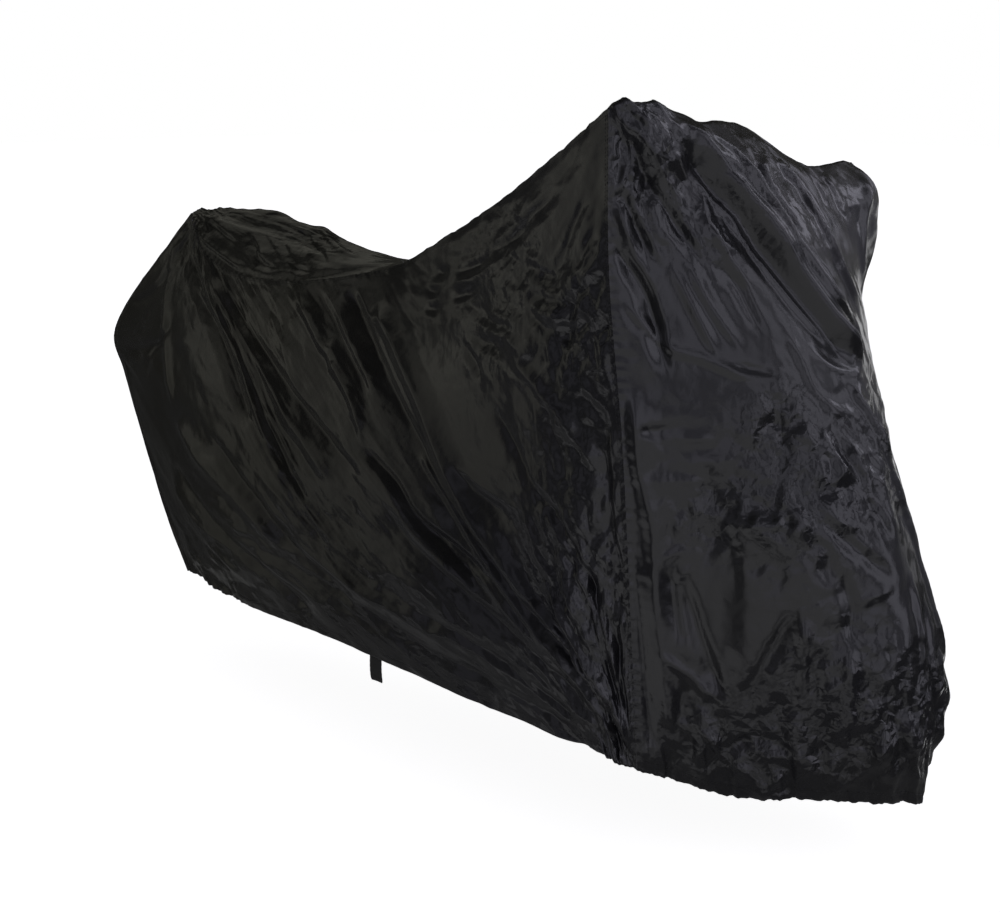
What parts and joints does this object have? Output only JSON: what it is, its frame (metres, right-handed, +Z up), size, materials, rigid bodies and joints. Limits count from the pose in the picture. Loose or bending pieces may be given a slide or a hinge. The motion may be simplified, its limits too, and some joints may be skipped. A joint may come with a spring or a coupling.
{
  "type": "motorcycle cover",
  "caption": "Fitted motorcycle cover of thin coated cloth, hollow and open below, draped over mirrors, seat and tail with a gathered hem.",
  "frame": {"origin": "underside of the cover's top, on the crest over the seat, where the covered machine holds it up", "axes": "+X forward to the covered front wheel, +Y to the left, +Z up; the cover leans 8 degrees to its left, as over a machine on its side stand"},
  "size_m": [2.1451, 0.7825, 1.1602],
  "materials": {
    "coated_cloth": "black coated plain weave, fairly glossy, crinkled",
    "webbing": "black woven webbing, matt"
  },
  "bodies": {
    "root": {"right_panel": "coated_cloth", "left_panel": "coated_cloth", "centre_panel": "coated_cloth", "hem_tab": "webbing"}
  },
  "joints": []
}
